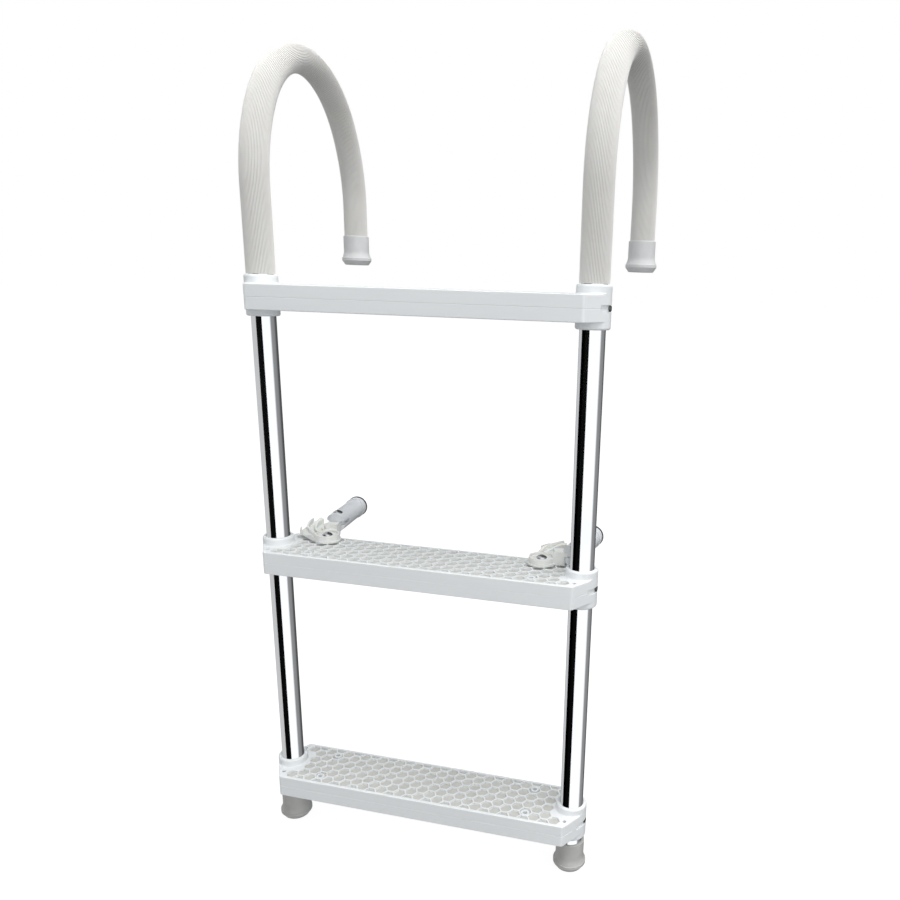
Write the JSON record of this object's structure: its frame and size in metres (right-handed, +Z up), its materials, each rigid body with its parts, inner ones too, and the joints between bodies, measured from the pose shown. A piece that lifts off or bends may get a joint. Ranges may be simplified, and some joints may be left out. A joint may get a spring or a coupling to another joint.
{
  "type": "boat boarding ladder",
  "caption": "Portable boarding ladder with padded gunwale hooks, polished tube rails, honeycomb plastic steps and swivelling stand-off arms.",
  "frame": {"origin": "midway between the two places where the padded hooks bear on the gunwale, at the underside of their crowns", "axes": "+Z up along the rails, +X to the right of a user facing the boat, +Y towards the boat"},
  "size_m": [0.4052, 0.2947, 0.8731],
  "materials": {
    "polished_tube": "mirror polished",
    "vinyl_sleeve": "soft ribbed vinyl",
    "rubber_cap": "satin moulded rubber",
    "step_plastic": "satin moulded",
    "bracket_nylon": "moulded nylon",
    "washer_nylon": "moulded nylon",
    "arm_plastic": "satin extruded",
    "dark_rubber": "matt rubber",
    "stainless_fastener": "polished stainless"
  },
  "bodies": {
    "ladder_frame": {"bottom_step_base": "step_plastic", "bottom_step_rail_screws": "stainless_fastener", "bottom_step_shell_screws": "stainless_fastener", "bottom_step_tread": "step_plastic", "left_foot_cap": "rubber_cap", "left_hook_end_cap": "rubber_cap", "left_hook_sleeve": "vinyl_sleeve", "left_rail_tube": "polished_tube", "left_swivel_nut": "stainless_fastener", "left_swivel_screw": "stainless_fastener", "left_swivel_washer": "washer_nylon", "middle_step_base": "step_plastic", "middle_step_rail_screws": "stainless_fastener", "middle_step_shell_screws": "stainless_fastener", "middle_step_tread": "step_plastic", "right_foot_cap": "rubber_cap", "right_hook_end_cap": "rubber_cap", "right_hook_sleeve": "vinyl_sleeve", "right_rail_tube": "polished_tube", "right_swivel_nut": "stainless_fastener", "right_swivel_screw": "stainless_fastener", "right_swivel_washer": "washer_nylon", "top_step_base": "step_plastic", "top_step_rail_screws": "stainless_fastener", "top_step_shell_screws": "stainless_fastener", "top_step_tread": "step_plastic"},
    "left_bracket": {"left_swivel_bracket": "bracket_nylon"},
    "left_arm": {"left_standoff_arm": "arm_plastic", "left_arm_end_cap": "arm_plastic", "left_arm_end_pad": "dark_rubber", "left_arm_pin_screw": "stainless_fastener", "left_arm_pin_nut": "stainless_fastener"},
    "right_bracket": {"right_swivel_bracket": "bracket_nylon"},
    "right_arm": {"right_standoff_arm": "arm_plastic", "right_arm_end_cap": "arm_plastic", "right_arm_end_pad": "dark_rubber", "right_arm_pin_screw": "stainless_fastener", "right_arm_pin_nut": "stainless_fastener"}
  },
  "joints": [
    {"name": "left_bracket_swivel", "type": "hinge", "parent": "ladder_frame", "child": "left_bracket", "pos_m": [-0.1241, -0.0983, -0.4891], "axis": [0, 0, 1], "range_deg": [-78, 27]},
    {"name": "left_arm_swing", "type": "hinge", "parent": "left_bracket", "child": "left_arm", "pos_m": [-0.12897, -0.06364, -0.4811], "axis": [0, 0, 1], "range_deg": [-85, 65]},
    {"name": "right_bracket_swivel", "type": "hinge", "parent": "ladder_frame", "child": "right_bracket", "pos_m": [0.1241, -0.0983, -0.4891], "axis": [0, 0, 1], "range_deg": [-1, 126]},
    {"name": "right_arm_swing", "type": "hinge", "parent": "right_bracket", "child": "right_arm", "pos_m": [0.15806, -0.08983, -0.4811], "axis": [0, 0, 1], "range_deg": [-79, 3]}
  ]
}
